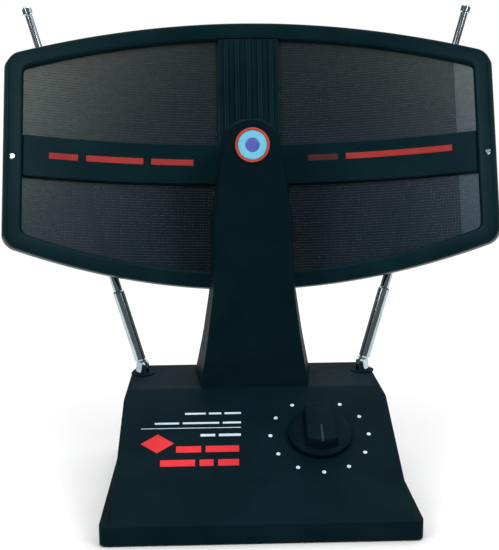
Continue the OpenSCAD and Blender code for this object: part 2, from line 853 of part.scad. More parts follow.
module turret(side) {
  low = -pivot_up + flange_h + 0.1;
  color([0.8, 0.82, 0.84]) placed() on_ear(side) difference() {
    union() {
      translate([0, 0, low]) cylinder(r = fork_r, h = -low);
      intersection() {
        translate([0, 0, -1]) cylinder(r = fork_r, h = 10);
        rotate([90, 0, 0]) translate([0, 0, -10]) cylinder(r = fork_top_r, h = 20);
      }
      translate([0, 0, -pivot_up - 10]) cylinder(r = stud_r, h = 10 + pivot_up + low + 0.5);
    }
    translate([-10, -slot_w / 2, -tang_w - 0.3]) cube([20, slot_w, 20]);
    rotate([90, 0, 0]) translate([0, 0, -10]) cylinder(r = pin_r + eps, h = 20);
  }
}

module pivot_pin(side) {
  color("silver") placed() on_ear(side) rotate([90, 0, 0]) translate([0, 0, -4.6]) cylinder(r = pin_r, h = 9.2);
}

module circlip(side) {
  color([0.3, 0.3, 0.32]) placed() on_ear(side) translate([0, 0, -pivot_up - 8.5]) difference() {
    cylinder(r = 5.4, h = 1);
    translate([0, 0, -1]) cylinder(r = stud_r + eps, h = 3);
    translate([2, -1.5, -1]) cube([10, 3, 3]);
  }
}

module sleeve(side) {
  color([0.8, 0.82, 0.84]) placed() on_rod(side) difference() {
    union() {
      translate([-tang_w, -tang_w / 2, 0]) cube([2 * tang_w, tang_w, sleeve_start + 1]);
      rotate([90, 0, 0]) translate([0, 0, -tang_w / 2]) cylinder(r = tang_w, h = tang_w);
      translate([0, 0, sleeve_start]) cylinder(r = sleeve_r, h = sleeve_end - sleeve_start - 1.2);
      translate([0, 0, sleeve_end - 1.2]) cylinder(r1 = sleeve_r, r2 = sleeve_r - 0.6, h = 1.2);
    }
    translate([0, 0, rod_start]) cylinder(r = tube_r + eps, h = 100);
    rotate([90, 0, 0]) translate([0, 0, -10]) cylinder(r = pin_r + fit, h = 20);
  }
}

// A tube with a rolled-in lip at its top and, if it slides in another, a wider guide at its foot
module telescopic_tube(start, end, r, bore_r, lip_r, guide_r) {
  difference() {
    union() {
      translate([0, 0, start]) cylinder(r = r, h = end - start);
      translate([0, 0, start]) cylinder(r = max(guide_r, r), h = slide_bush_l);
    }
    translate([0, 0, start - 1]) cylinder(r = bore_r, h = end - start - lip_l + 1);
    translate([0, 0, end - lip_l - 1]) cylinder(r = lip_r, h = lip_l + 2);
  }
}

base_bore_r = 2.95;
middle_bore_r = 2.3;
upper_bore_r = 1.7;

module base_tube(side) {
  color([0.82, 0.84, 0.86]) placed() on_rod(side)
    telescopic_tube(rod_start + 0.02, base_tube_end, tube_r, base_bore_r, middle_r + fit, 0);
}

module middle_tube(side) {
  color([0.84, 0.86, 0.88]) placed() on_rod(side)
    telescopic_tube(middle_end - section_l, middle_end, middle_r, middle_bore_r, upper_r + fit, base_bore_r - fit);
}

module upper_tube(side) {
  color([0.86, 0.88, 0.9]) placed() on_rod(side)
    telescopic_tube(middle_end + 0.4 - section_l + 2, middle_end + 0.4, upper_r, upper_bore_r, tip_r + fit,
      middle_bore_r - fit);
}

module tip_rod(side) {
  color([0.86, 0.88, 0.9]) placed() on_rod(side) {
    translate([0, 0, middle_end + 5 - section_l]) cylinder(r = tip_r, h = section_l - 4 + 1);
    translate([0, 0, middle_end + 5 - section_l]) cylinder(r = upper_bore_r - fit, h = slide_bush_l);
    translate([0, 0, middle_end + 1]) cylinder(r = button_r, h = button_l - 1.6);
    translate([0, 0, tip_end - 1.6]) cylinder(r1 = button_r, r2 = 2, h = 1.6);
  }
}

base_housing();
base_plate();
base_feet();
base_screws();
ballast_weight();
ballast_screws();
selector_knob();
knob_pointer();
switch_shaft();
switch_rotor();
switch_body();
switch_nut();
dial_marks();
circuit_board();
board_screws();
tuning_coils();
capacitors();
balun_core();
coax_jack();
jack_nut();
feeder_lead();
uhf_coupler();
column_front();
column_back();
column_screws();
foot_screws();
badge_rim();
badge_disc();
badge_centre();
hub_neck();
hub_bolt();
panel_bezel();
panel_rear_frame();
reflector_mesh();
cross_band(-1);  // cross_band_left
cross_band(1);  // cross_band_right
centre_strut();
panel_screws();
end_rivets();
bush(-1);  // left_bush
turret(-1);  // left_turret
pivot_pin(-1);  // left_pivot_pin
circlip(-1);  // left_circlip
sleeve(-1);  // left_sleeve
base_tube(-1);  // left_base_tube
middle_tube(-1);  // left_middle_tube
upper_tube(-1);  // left_upper_tube
tip_rod(-1);  // left_tip_rod
bush(1);  // right_bush
turret(1);  // right_turret
pivot_pin(1);  // right_pivot_pin
circlip(1);  // right_circlip
sleeve(1);  // right_sleeve
base_tube(1);  // right_base_tube
middle_tube(1);  // right_middle_tube
upper_tube(1);  // right_upper_tube
tip_rod(1);  // right_tip_rod
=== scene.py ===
# Look of the set-top antenna: mesh work, finishes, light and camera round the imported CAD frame.
# Lengths in the driving values are millimetres and are turned into metres by mm().
import math

import bmesh
import bpy
from mathutils import Matrix, Vector


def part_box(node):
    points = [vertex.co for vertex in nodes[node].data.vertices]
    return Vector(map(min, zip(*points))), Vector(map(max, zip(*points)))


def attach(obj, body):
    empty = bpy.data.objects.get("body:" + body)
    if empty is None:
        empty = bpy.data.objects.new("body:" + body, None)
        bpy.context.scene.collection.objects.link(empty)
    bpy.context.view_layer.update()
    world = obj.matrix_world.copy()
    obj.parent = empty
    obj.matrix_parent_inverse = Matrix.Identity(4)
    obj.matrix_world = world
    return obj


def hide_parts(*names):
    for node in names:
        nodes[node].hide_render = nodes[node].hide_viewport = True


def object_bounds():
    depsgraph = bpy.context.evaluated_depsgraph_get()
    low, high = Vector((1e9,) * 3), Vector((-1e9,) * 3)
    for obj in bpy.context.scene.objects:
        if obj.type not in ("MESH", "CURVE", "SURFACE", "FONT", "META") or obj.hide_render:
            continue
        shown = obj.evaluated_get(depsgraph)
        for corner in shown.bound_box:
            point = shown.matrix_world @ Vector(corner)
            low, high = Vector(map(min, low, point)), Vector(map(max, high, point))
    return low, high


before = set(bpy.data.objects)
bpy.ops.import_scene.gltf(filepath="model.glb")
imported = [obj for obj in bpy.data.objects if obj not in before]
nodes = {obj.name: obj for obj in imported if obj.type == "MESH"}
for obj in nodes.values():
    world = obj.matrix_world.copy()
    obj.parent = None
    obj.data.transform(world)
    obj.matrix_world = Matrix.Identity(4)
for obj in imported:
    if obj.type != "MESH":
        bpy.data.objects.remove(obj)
cad_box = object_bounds()

# ------------------------------------------------------------------ driving values
# Console: deck height, slope of the face, and the height and overhang of the skirt round its foot
DECK_Z = 68.2
FACE_A = math.radians(26.7)
SKIRT_H, SKIRT_LIP = 12.9, 0.4
# Selector: its place across the face and down it, its radius, and half the width of its grip
DIAL_X, DIAL_S = 41.7, 49.0
KNOB_R, GRIP_HALF_W = 21.5, 10.5
# Column: lean of its front face, and the height of the badge above the deck
COL_LEAN = math.radians(4)
BADGE_Z = 168.6
# Panel: the origin of its measures, above the deck and behind the foot of the column's front face
PANEL_Z, PANEL_Y = 152.3, 62.0
# Its lean, radius, half width, reach up and down at the centre, and fall of the edges towards the ends
PANEL_LEAN = math.radians(18)
PANEL_R, PANEL_HALF_W = 402.0, 172.0
PANEL_UP, PANEL_DOWN = 109.8, 93.2
UP_SAG, DOWN_SAG = 37.9, 28.3
# Width of the border, and half widths of the cross band and the centre strut
BORDER, BAND_H, STRUT_W = 12.4, 14.9, 22.5

# Values that follow from those above
SKIRT_FRONT = -(DECK_Z - SKIRT_H) / math.tan(FACE_A) - SKIRT_LIP
UP_R = (PANEL_HALF_W**2 + UP_SAG**2) / (2 * UP_SAG)
DOWN_R = (PANEL_HALF_W**2 + DOWN_SAG**2) / (2 * DOWN_SAG)
END_PHI = math.asin(PANEL_HALF_W / PANEL_R)
END_A = END_PHI * PANEL_R


def mm(x, y=0.0, z=0.0):
    return Vector((x, y, z)) * 0.001


# The frame's y is the design's y plus this shift, read from the front of the skirt
Y_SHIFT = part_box("base_housing")[0].y * 1000 - SKIRT_FRONT


def place(x, y, z, angle):
    """Placement at a design point, turned about X."""
    return Matrix.Translation(mm(x, y + Y_SHIFT, z)) @ Matrix.Rotation(angle, 4, "X")


def on_face(x, s):
    return place(x, -s * math.cos(FACE_A), DECK_Z - s * math.sin(FACE_A), FACE_A)


def on_column(h):
    return place(0, h * math.tan(COL_LEAN), DECK_Z + h, -COL_LEAN)


ON_PANEL = place(0, PANEL_Y, DECK_Z + PANEL_Z, -PANEL_LEAN)


def curved(a, h, t):
    """Point of the panel: distance along its curve, height, and depth behind the front face."""
    phi = a / PANEL_R
    return ON_PANEL @ mm((PANEL_R + t) * math.sin(phi), (PANEL_R + t) * math.cos(phi) - PANEL_R, h)


# ------------------------------------------------------------------ finishes
class Finish:
    """Node helper for one procedural material."""

    def __init__(self, name, **sockets):
        self.mat = bpy.data.materials.new(name)
        self.mat.use_nodes = True
        self.tree = self.mat.node_tree
        self.bsdf = self.tree.nodes["Principled BSDF"]
        self.coord = self.tree.nodes.new("ShaderNodeTexCoord")
        for key, value in sockets.items():
            self.bsdf.inputs[key.replace("_", " ")].default_value = value

    def noise(self, scale, detail=3.0, stretch=(1, 1, 1)):
        mapping = self.tree.nodes.new("ShaderNodeMapping")
        mapping.inputs["Scale"].default_value = stretch
        tex = self.tree.nodes.new("ShaderNodeTexNoise")
        tex.inputs["Scale"].default_value = scale
        tex.inputs["Detail"].default_value = detail
        self.tree.links.new(self.coord.outputs["Object"], mapping.inputs["Vector"])
        self.tree.links.new(mapping.outputs["Vector"], tex.inputs["Vector"])
        return tex.outputs["Fac"]

    def colour(self, source, dark, light):
        return self.ramp(source, [(0.3, dark), (0.7, light)])

    def math(self, operation, *values):
        node = self.tree.nodes.new("ShaderNodeMath")
        node.operation = operation
        for socket, value in zip(node.inputs, values):
            if isinstance(value, (int, float)):
                socket.default_value = value
            else:
                self.tree.links.new(value, socket)
        return node.outputs[0]

    def ramp(self, source, stops):
        node = self.tree.nodes.new("ShaderNodeValToRGB")
        while len(node.color_ramp.elements) < len(stops):
            node.color_ramp.elements.new(0.5)
        for element, (at, tone) in zip(node.color_ramp.elements, stops):
            element.position = at
            element.color = (*tone, 1)
        self.tree.links.new(source, node.inputs["Fac"])
        self.tree.links.new(node.outputs["Color"], self.bsdf.inputs["Base Color"])
        return self

    def rough(self, source, low, high):
        span = self.tree.nodes.new("ShaderNodeMapRange")
        span.inputs["To Min"].default_value = low
        span.inputs["To Max"].default_value = high
        self.tree.links.new(source, span.inputs["Value"])
        self.tree.links.new(span.outputs["Result"], self.bsdf.inputs["Roughness"])
        return self

    def bump(self, source, strength, depth):
        node = self.tree.nodes.new("ShaderNodeBump")
        node.inputs["Strength"].default_value = strength
        node.inputs["Distance"].default_value = depth
        self.tree.links.new(source, node.inputs["Height"])
        self.tree.links.new(node.outputs["Normal"], self.bsdf.inputs["Normal"])
        return self


# Sheen of the blue-black mouldings, which reflect less red
TEAL_SHEEN = (0.6, 0.9, 1.0, 1.0)
PLAIN_SHEEN = (1.0, 1.0, 1.0, 1.0)
# Height of the fine surface texture, in metres
TEXTURE_DEPTH = 0.0001


def plastic(name, dark, light, rough=(0.3, 0.42), grain=2600, level=0.35, bump=0.12, sheen=PLAIN_SHEEN):
    f = Finish(name, Specular_IOR_Level=level, Specular_Tint=sheen)
    f.colour(f.noise(35, 4), dark, light)
    f.rough(f.noise(120, 3), *rough)
    f.bump(f.noise(grain, 2), bump, TEXTURE_DEPTH)
    return f.mat


def metal(name, dark, light, rough, stretch=(1, 1, 1)):
    f = Finish(name, Metallic=1.0)
    f.colour(f.noise(60, 3, stretch), dark, light)
    f.rough(f.noise(500, 3, stretch), *rough)
    f.bump(f.noise(1500, 2, stretch), 0.04, TEXTURE_DEPTH)
    return f.mat


# Mesh tones, from cool and dark to warm and light, and how fast they change per metre and with the noise; the
# change per metre is painted light, lighter and warmer towards the ends, the left and the top, and the noise
# is random tone
MESH_TONES = [(0.25, (0.019, 0.032, 0.045)), (0.5, (0.032, 0.042, 0.048)), (0.85, (0.078, 0.086, 0.074))]
MESH_PAINTED_LIGHT_PER_OUT, MESH_PAINTED_LIGHT_PER_X, MESH_PAINTED_LIGHT_PER_Z, MESH_PER_NOISE = 1.6, -0.4, 2.4, 0.22
# Tone on the centre line at this height, before the noise
MESH_LOW_TONE, MESH_LOW_Z = 0.2, 0.24


def mesh_metal_painted_light(name, gain):
    """Dark lacquered metal with painted light, lighter and warmer towards the panel's top and ends, most to
    the left.
    """
    f = Finish(name, Metallic=1.0)
    split = f.tree.nodes.new("ShaderNodeSeparateXYZ")
    f.tree.links.new(f.coord.outputs["Object"], split.inputs["Vector"])
    out = f.math("ABSOLUTE", split.outputs["X"])
    # Painted light: the tone rises towards the panel's ends, to its left and to its top
    tone = f.math("MULTIPLY_ADD", out, MESH_PAINTED_LIGHT_PER_OUT, MESH_LOW_TONE - MESH_PAINTED_LIGHT_PER_Z * MESH_LOW_Z)
    tone = f.math("MULTIPLY_ADD", split.outputs["X"], MESH_PAINTED_LIGHT_PER_X, tone)
    tone = f.math("MULTIPLY_ADD", split.outputs["Z"], MESH_PAINTED_LIGHT_PER_Z, tone)
    tone = f.math("MULTIPLY_ADD", f.noise(260, 4), MESH_PER_NOISE, tone)
    f.ramp(tone, [(at, tuple(gain * c for c in colour)) for at, colour in MESH_TONES])
    f.rough(f.noise(400, 3), 0.36, 0.46)
    f.bump(f.noise(1500, 2), 0.1, TEXTURE_DEPTH)
    return f.mat


# Plastics: dark and light colour, roughness, grain, specular level, bump.
# Metals: dark and light colour, roughness, stretch.
MAT = {
    "shell": plastic(
        "shell_plastic", (0.0012, 0.0084, 0.0125), (0.0028, 0.0125, 0.0176), (0.46, 0.6), 2600, 0.035,
        sheen=TEAL_SHEEN,
    ),
    "frame": plastic(
        "frame_plastic", (0.0016, 0.0125, 0.0168), (0.0032, 0.018, 0.0225), (0.26, 0.38), 1800, 0.07,
        sheen=TEAL_SHEEN,
    ),
    "knob": plastic(
        "knob_plastic", (0.001, 0.0068, 0.0098), (0.002, 0.0095, 0.0132), (0.42, 0.54), 3000, 0.045,
        sheen=TEAL_SHEEN,
    ),
    "index": plastic(
        "knob_index", (0.005, 0.016, 0.024), (0.008, 0.022, 0.032), (0.35, 0.45), 1500, 0.16
    ),
    "rubber": plastic(
        "foot_rubber", (0.008, 0.008, 0.009), (0.014, 0.014, 0.015), (0.7, 0.85), 1400, 0.2, 0.3
    ),
    "white": plastic("print_white", (0.48, 0.62, 0.72), (0.72, 0.84, 0.92), (0.5, 0.6), 900),
    "red": plastic("print_red", (0.62, 0.016, 0.026), (0.86, 0.03, 0.042), (0.5, 0.6), 900, 0.2),
    "red_dim": plastic("print_red_band", (0.3, 0.022, 0.02), (0.46, 0.04, 0.034), (0.5, 0.6), 900, 0.2),
    "red_faint": plastic("print_red_worn", (0.05, 0.012, 0.014), (0.12, 0.016, 0.018), (0.5, 0.6), 900, 0.2),
    "badge_red": plastic(
        "badge_red", (0.46, 0.045, 0.025), (0.62, 0.085, 0.045), (0.2, 0.28), 600, 0.3, 0.03
    ),
    "badge_cyan": plastic("badge_cyan", (0.14, 0.56, 0.8), (0.22, 0.68, 0.9), (0.16, 0.24), 600, 0.3, 0.03),
    "badge_violet": plastic(
        "badge_violet", (0.085, 0.1, 0.42), (0.12, 0.15, 0.52), (0.16, 0.24), 600, 0.3, 0.03
    ),
    "phenolic": plastic("board_phenolic", (0.26, 0.13, 0.04), (0.42, 0.24, 0.09), (0.5, 0.65), 900),
    "capacitor": plastic("cap_ceramic", (0.5, 0.2, 0.04), (0.68, 0.32, 0.08), (0.3, 0.4), 800),
    "ferrite": plastic("ferrite", (0.02, 0.02, 0.022), (0.045, 0.045, 0.05), (0.55, 0.7), 1500),
    "lead": plastic("lead_brown", (0.07, 0.03, 0.015), (0.11, 0.055, 0.028), (0.4, 0.5), 900),
    "chrome": metal("chrome", (0.32, 0.42, 0.46), (0.46, 0.56, 0.6), (0.06, 0.13)),
    "zinc": metal("zinc_plate", (0.42, 0.43, 0.44), (0.62, 0.63, 0.64), (0.24, 0.4)),
    "steel": metal("rolled_steel", (0.2, 0.2, 0.21), (0.36, 0.36, 0.37), (0.38, 0.55), (1, 6, 1)),
    # The grille's finish, lighter and warmer towards the panel's top, ends and left as painted light
    "mesh": mesh_metal_painted_light("mesh_metal_painted_light", 1.0),
    # The same finish made lighter, painted light for the panel's right end
    "mesh_end_painted_light": mesh_metal_painted_light("grille_end_painted_light", 1.85),
    "nickel": metal("nickel", (0.46, 0.42, 0.35), (0.66, 0.61, 0.53), (0.16, 0.28)),
    "brass": metal("brass", (0.5, 0.34, 0.1), (0.7, 0.5, 0.18), (0.2, 0.35)),
    "copper": metal("enamelled_copper", (0.42, 0.15, 0.06), (0.62, 0.25, 0.11), (0.18, 0.3)),
}

NODE_FINISH = {
    "base_plate": "shell", "base_feet": "rubber", "ballast_weight": "steel",
    "knob_pointer": "index", "switch_shaft": "steel", "switch_rotor": "phenolic", "switch_body": "phenolic",
    "dial_marks": "white", "circuit_board": "phenolic", "tuning_coils": "copper", "capacitors": "capacitor",
    "balun_core": "ferrite", "coax_jack": "nickel", "jack_nut": "nickel", "feeder_lead": "lead",
    "uhf_coupler": "brass", "hub_neck": "shell", "end_rivets": "chrome",
}


def finish_of(node):
    if node in NODE_FINISH:
        return NODE_FINISH[node]
    if node.endswith(("screws", "nut", "bolt", "pin")):
        return "zinc"
    if node.endswith("circlip"):
        return "steel"
    if node.endswith(("tube", "rod", "turret", "sleeve")):
        return "chrome"
    return "shell"


for name, obj in nodes.items():
    obj.data.materials.clear()
    obj.data.materials.append(MAT[finish_of(name)])


# ------------------------------------------------------------------ mesh helpers
# Points closer than this are one point, in metres
WELD = 2e-6


def piece(name, bm, mat, body="stand", replaced=(), smooth=0.6, bevel=0.0):
    """Turns a bmesh into a piece that rides on a body; edges above the angle `smooth` stay sharp."""
    bmesh.ops.remove_doubles(bm, verts=bm.verts, dist=WELD)
    bmesh.ops.recalc_face_normals(bm, faces=bm.faces)
    mesh = bpy.data.meshes.new(name)
    bm.to_mesh(mesh)
    bm.free()
    mesh.materials.append(MAT[mat])
    obj = bpy.data.objects.new(name, mesh)
    bpy.context.scene.collection.objects.link(obj)
    if bevel:
        mod = obj.modifiers.new("edges", "BEVEL")
        mod.width = bevel * 0.001
        mod.segments = 3
        mod.limit_method = "ANGLE"
        mod.angle_limit = math.radians(35)
        mod.use_clamp_overlap = True
        mod.harden_normals = False
    mesh.shade_smooth()
    mesh.set_sharp_from_angle(angle=smooth)
    if bevel:
        soften = obj.modifiers.new("face_normals", "WEIGHTED_NORMAL")
        soften.weight = 60
        soften.keep_sharp = True
    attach(obj, body)
    if replaced:
        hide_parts(*replaced)
    return obj


def refine(node, bevel):
    """A CAD shell with its flat faces merged and its edges rounded."""
    bm = bmesh.new()
    bm.from_mesh(nodes[node].data)
    bmesh.ops.remove_doubles(bm, verts=bm.verts, dist=WELD)
    bmesh.ops.dissolve_limit(bm, angle_limit=math.radians(0.4), verts=bm.verts, edges=bm.edges)
    return piece(node + "_shell", bm, "shell", replaced=(node,), bevel=bevel, smooth=math.radians(32))


def rings(bm, loops, closed=True, caps=False):
    """Joins a list of equal point loops with quads."""
    rows = [[bm.verts.new(p) for p in loop] for loop in loops]
    n = len(rows[0])
    last = len(rows) if closed else len(rows) - 1
    for i in range(last):
        a, b = rows[i], rows[(i + 1) % len(rows)]
        for j in range(n):
            bm.faces.new((a[j], a[(j + 1) % n], b[(j + 1) % n], b[j]))
    if caps:
        bm.faces.new(list(reversed(rows[0])))
        bm.faces.new(rows[-1])


LATHE_STEPS = 96


def lathe(name, profile, where, mat, replaced):
    """A turned piece; profile is its closed section, as (radius, height)."""
    bm = bmesh.new()
    loops = []
    for k in range(LATHE_STEPS):
        a = 2 * math.pi * k / LATHE_STEPS
        loops.append([where @ mm(r * math.cos(a), r * math.sin(a), z) for r, z in profile])
    rings(bm, loops)
    return piece(name, bm, mat, replaced=replaced)


# ------------------------------------------------------------------ panel
def upper_edge(a, inset):
    x = PANEL_R * math.sin(a / PANEL_R)
    return PANEL_UP - UP_R + math.sqrt((UP_R - inset) ** 2 - x * x)


def lower_edge(a, inset):
    x = PANEL_R * math.sin(a / PANEL_R)
    return DOWN_R - PANEL_DOWN - math.sqrt((DOWN_R - inset) ** 2 - x * x)


SIDE_STEPS, CORNER_STEPS = 64, 8
# Corner radius at the outer edge and at the opening
RIM_R, OPENING_R = 8.0, 4.0


def corner(inset, radius, side, sign):
    """Rounded corner, from the upper or lower edge round to the panel's end."""
    edge = upper_edge if sign > 0 else lower_edge
    start = END_A - inset - radius
    slope = edge(start + 1, inset) - edge(start, inset)
    out = []
    for k in range(1, CORNER_STEPS + 1):
        t = math.pi / 2 * k / CORNER_STEPS
        along = radius * math.sin(t)
        h = edge(start, inset) + slope * along - sign * radius * (1 - math.cos(t))
        out.append((side * (start + along), h))
    return out


def outline(inset, radius):
    """Closed outline of the panel moved inwards, as (distance along the curve, height)."""
    reach = END_A - inset - radius
    across = [reach * (2 * k / SIDE_STEPS - 1) for k in range(SIDE_STEPS + 1)]
    return (
        [(a, upper_edge(a, inset)) for a in across]
        + corner(inset, radius, 1, 1)
        + corner(inset, radius, 1, -1)[::-1]
        + [(a, lower_edge(a, inset)) for a in reversed(across)]
        + corner(inset, radius, -1, -1)
        + corner(inset, radius, -1, 1)[::-1]
    )


def border_ring(name, profile, mat, node):
    """Sweeps a cross-section, (inset from the outer edge, depth), round the panel's border."""
    loops = []
    for inset, depth in profile:
        radius = RIM_R - (RIM_R - OPENING_R) * inset / BORDER
        loops.append([curved(a, h, depth) for a, h in outline(inset, radius)])
    bm = bmesh.new()
    rings(bm, loops)
    return piece(name, bm, mat, replaced=(node,), smooth=math.radians(40))


# Sections of the two border mouldings, as (inset from the outer edge, depth behind the front face)
FRONT_PROFILE = [
    (0.0, 4.95), (0.0, 1.7), (0.15, 1.0), (0.6, 0.4), (1.3, 0.08), (2.2, 0.0),
    (9.4, 0.0), (10.4, 0.12), (11.2, 0.5), (11.8, 1.1), (12.4, 2.4), (12.4, 4.95),
]
BACK_PROFILE = [
    (0.0, 5.05), (0.0, 8.6), (0.3, 9.6), (1.0, 10.25), (2.0, 10.5),
    (9.0, 10.5), (10.4, 10.3), (11.2, 9.7), (11.4, 8.8), (11.4, 5.85), (8.2, 5.85), (8.2, 5.05),
]


def slab(bm, a0, a1, low, high, t0, t1, steps):
    """A curved block between two distances along the curve; low and high give its edges."""
    loops = []
    for k in range(steps + 1):
        a = a0 + (a1 - a0) * k / steps
        corners = ((low(a), t0), (high(a), t0), (high(a), t1), (low(a), t1))
        loops.append([curved(a, h, t) for h, t in corners])
    rings(bm, loops, closed=False, caps=True)


# Gap left between border, strut and bands
PLATE_GAP = 0.1
# Depths of the front and back faces of the bands and of the strut
BAND_T0, BAND_T1 = 0.8, 4.8
STRUT_T0, STRUT_T1 = 0.6, 4.9


def bands():
    for side, name in ((-1, "cross_band_left"), (1, "cross_band_right")):
        a0 = STRUT_W + PLATE_GAP
        a1 = END_A - BORDER - PLATE_GAP
        bm = bmesh.new()
        slab(bm, side * a0, side * a1, lambda a: -BAND_H, lambda a: BAND_H, BAND_T0, BAND_T1, 40)
        piece(name + "_plate", bm, "frame", replaced=(name,), bevel=0.7)


# Ribs on the centre strut: their number, pitch and width, and the height of their lower ends
RIBS = 5
RIB_PITCH, RIB_W, RIB_FOOT = 8.45, 3.4, 20.0
# Depths of the ribs' crests and roots
RIB_CREST, RIB_ROOT = -1.15, 0.9


def strut():
    bm = bmesh.new()
    inset = BORDER + PLATE_GAP
    low, high = lambda a: lower_edge(a, inset), lambda a: upper_edge(a, inset)
    slab(bm, -STRUT_W, STRUT_W, low, high, STRUT_T0, STRUT_T1, 12)
    piece("centre_strut_plate", bm, "frame", replaced=("centre_strut",), bevel=0.5)
    for i in range(RIBS):
        bm = bmesh.new()
        c = (i - (RIBS - 1) // 2) * RIB_PITCH
        a0, a1 = c - RIB_W / 2, c + RIB_W / 2
        slab(bm, a0, a1, lambda a: RIB_FOOT, lambda a: upper_edge(a, inset + 1), RIB_CREST, RIB_ROOT, 2)
        piece(f"strut_rib_{i + 1}", bm, "frame", bevel=0.8)


# Mesh: pitch of the wires, half width of one along the curve, and of one up the panel as a share of its pitch
WIRE_PITCH = 2.0
WIRE_HALF_W = 0.93
UPRIGHT_SHARE = 0.46
# Depths of the layer of wires along the curve, and of the layer up the panel behind it
ALONG_T0, ALONG_T1 = 5.1, 5.38
UPRIGHT_T0, UPRIGHT_T1 = 5.4, 5.7
# Distance along the curve where the right end piece starts, made lighter as painted light, and the mesh's
# inset from the outer edge
SEAM_A = 151.5
MESH_INSET = 8.8


def reach_at(h):
    """How far along the curve the mesh goes at a height."""
    a = END_A - MESH_INSET
    while a > 10 and not lower_edge(a, MESH_INSET) < h < upper_edge(a, MESH_INSET):
        a -= 1.0
    return a


def grille(name, mat, a_low, a_high, steps):
    """Fine grille of flat wires between two distances: one layer along the curve, one up the panel."""
    bm = bmesh.new()
    h = -PANEL_DOWN + MESH_INSET + 1
    while h < PANEL_UP - MESH_INSET - 1:
        reach = reach_at(h)
        a0, a1 = max(-reach, a_low), min(reach, a_high)
        if a1 - a0 > 2:
            low, high = h - WIRE_HALF_W, h + WIRE_HALF_W
            slab(bm, a0, a1, lambda a: low, lambda a: high, ALONG_T0, ALONG_T1, steps)
        h += WIRE_PITCH
    start, end = max(-END_A + MESH_INSET, a_low), min(END_A - MESH_INSET, a_high)
    count = round((end - start) / WIRE_PITCH)
    pitch = (end - start) / count
    for k in range(count):
        a = start + pitch * (k + 0.5)
        low, high = lower_edge(a, MESH_INSET + 0.6), upper_edge(a, MESH_INSET + 0.6)
        half = pitch * UPRIGHT_SHARE
        slab(bm, a - half, a + half, lambda x: low, lambda x: high, UPRIGHT_T0, UPRIGHT_T1, 1)
    return piece(name, bm, mat, replaced=("reflector_mesh",), smooth=math.radians(30))


def reflector():
    grille("reflector_grille", "mesh", -END_A, SEAM_A, 56)
    # The right end piece takes the lighter copy of the finish: painted light
    grille("reflector_grille_end", "mesh_end_painted_light", SEAM_A + 0.02, END_A, 4)


# ------------------------------------------------------------------ selector and badge
# Selector's skirt, as (height, distance in from its radius), with its flutes and the steps round it
SKIRT_LEVELS = [
    (0.6, 0.55), (0.9, 0.12), (1.6, 0.0), (3.0, 0.0), (3.5, 0.25), (3.8, 0.9), (5.4, 2.6), (5.6, 3.2),
]
FLUTES, FLUTE_DEPTH, SKIRT_STEPS = 48, 0.28, 192
# Its grip, as (height, growth of the outline), and the distance of the grip's ends in from the skirt's radius
GRIP_LEVELS = [(5.0, 0.6), (6.5, 0.1), (10.5, -0.15), (12.6, -0.4), (13.5, -0.9), (13.85, -1.8)]
GRIP_END_IN, GRIP_STEPS = 3.1, 12
# The grip narrows by this much on each side over this height
GRIP_TAPER, GRIP_TAPER_H = 0.2, 9


def selector():
    """Round skirt with finger flutes, a cone above it and a bar grip with a rounded back."""
    where = on_face(DIAL_X, DIAL_S)
    bm = bmesh.new()
    bottom, top = SKIRT_LEVELS[0][0], SKIRT_LEVELS[-1][0]
    loops = []
    for k in range(SKIRT_STEPS):
        a = 2 * math.pi * k / SKIRT_STEPS
        flute = FLUTE_DEPTH * max(0.0, math.cos(a * FLUTES))
        loop = [where @ mm(0, 0, bottom)]
        for z, back in SKIRT_LEVELS:
            r = KNOB_R - back - (flute if back < 0.5 else 0)
            loop.append(where @ mm(r * math.cos(a), r * math.sin(a), z))
        loop.append(where @ mm(0, 0, top))
        loops.append(loop)
    rings(bm, loops)
    piece("selector_skirt", bm, "knob", "selector", ("selector_knob",))
    bm = bmesh.new()
    loops = []
    for z, grow in GRIP_LEVELS:
        half = GRIP_HALF_W + grow - GRIP_TAPER * (z - GRIP_LEVELS[0][0]) / GRIP_TAPER_H
        r = KNOB_R - GRIP_END_IN + grow
        loop = []
        for sign in (1, -1):
            for k in range(GRIP_STEPS + 1):
                x = half * (1 - 2 * k / GRIP_STEPS) * sign
                loop.append(where @ mm(x, sign * math.sqrt(max(r * r - x * x, 0)), z))
        loops.append(loop)
    rings(bm, loops, closed=False, caps=True)
    piece("selector_grip", bm, "knob", "selector")


# Turned sections of the badge, as (radius, height above the column's face)
BADGE_RING = [
    (10.2, -1.1), (12, -1.1), (12, 1.5), (11.8, 2.0), (11.3, 2.2), (10.7, 2.2), (10.3, 1.9), (10.2, 1.4),
]
BADGE_DISH = [
    (0.01, 0.05), (10.1, 0.05), (10.1, 1.3), (9.6, 1.65), (8, 1.72), (5.4, 1.55), (4.9, 1.3), (4.85, 0.7),
    (0.01, 0.7),
]
BADGE_BUTTON = [(0.01, 0.7), (4.75, 0.7), (4.75, 1.5), (4.3, 1.8), (3, 2.0), (0.01, 2.1)]


def badge():
    where = on_column(BADGE_Z) @ Matrix.Rotation(math.radians(90), 4, "X")
    lathe("badge_ring", BADGE_RING, where, "badge_red", ("badge_rim",))
    lathe("badge_dish", BADGE_DISH, where, "badge_cyan", ("badge_disc",))
    lathe("badge_button", BADGE_BUTTON, where, "badge_violet", ("badge_centre",))


# ------------------------------------------------------------------ printed marks
# Thickness of the print, and the height of its middle above the face
PRINT_T, PRINT_MIDDLE = 0.08, 0.045


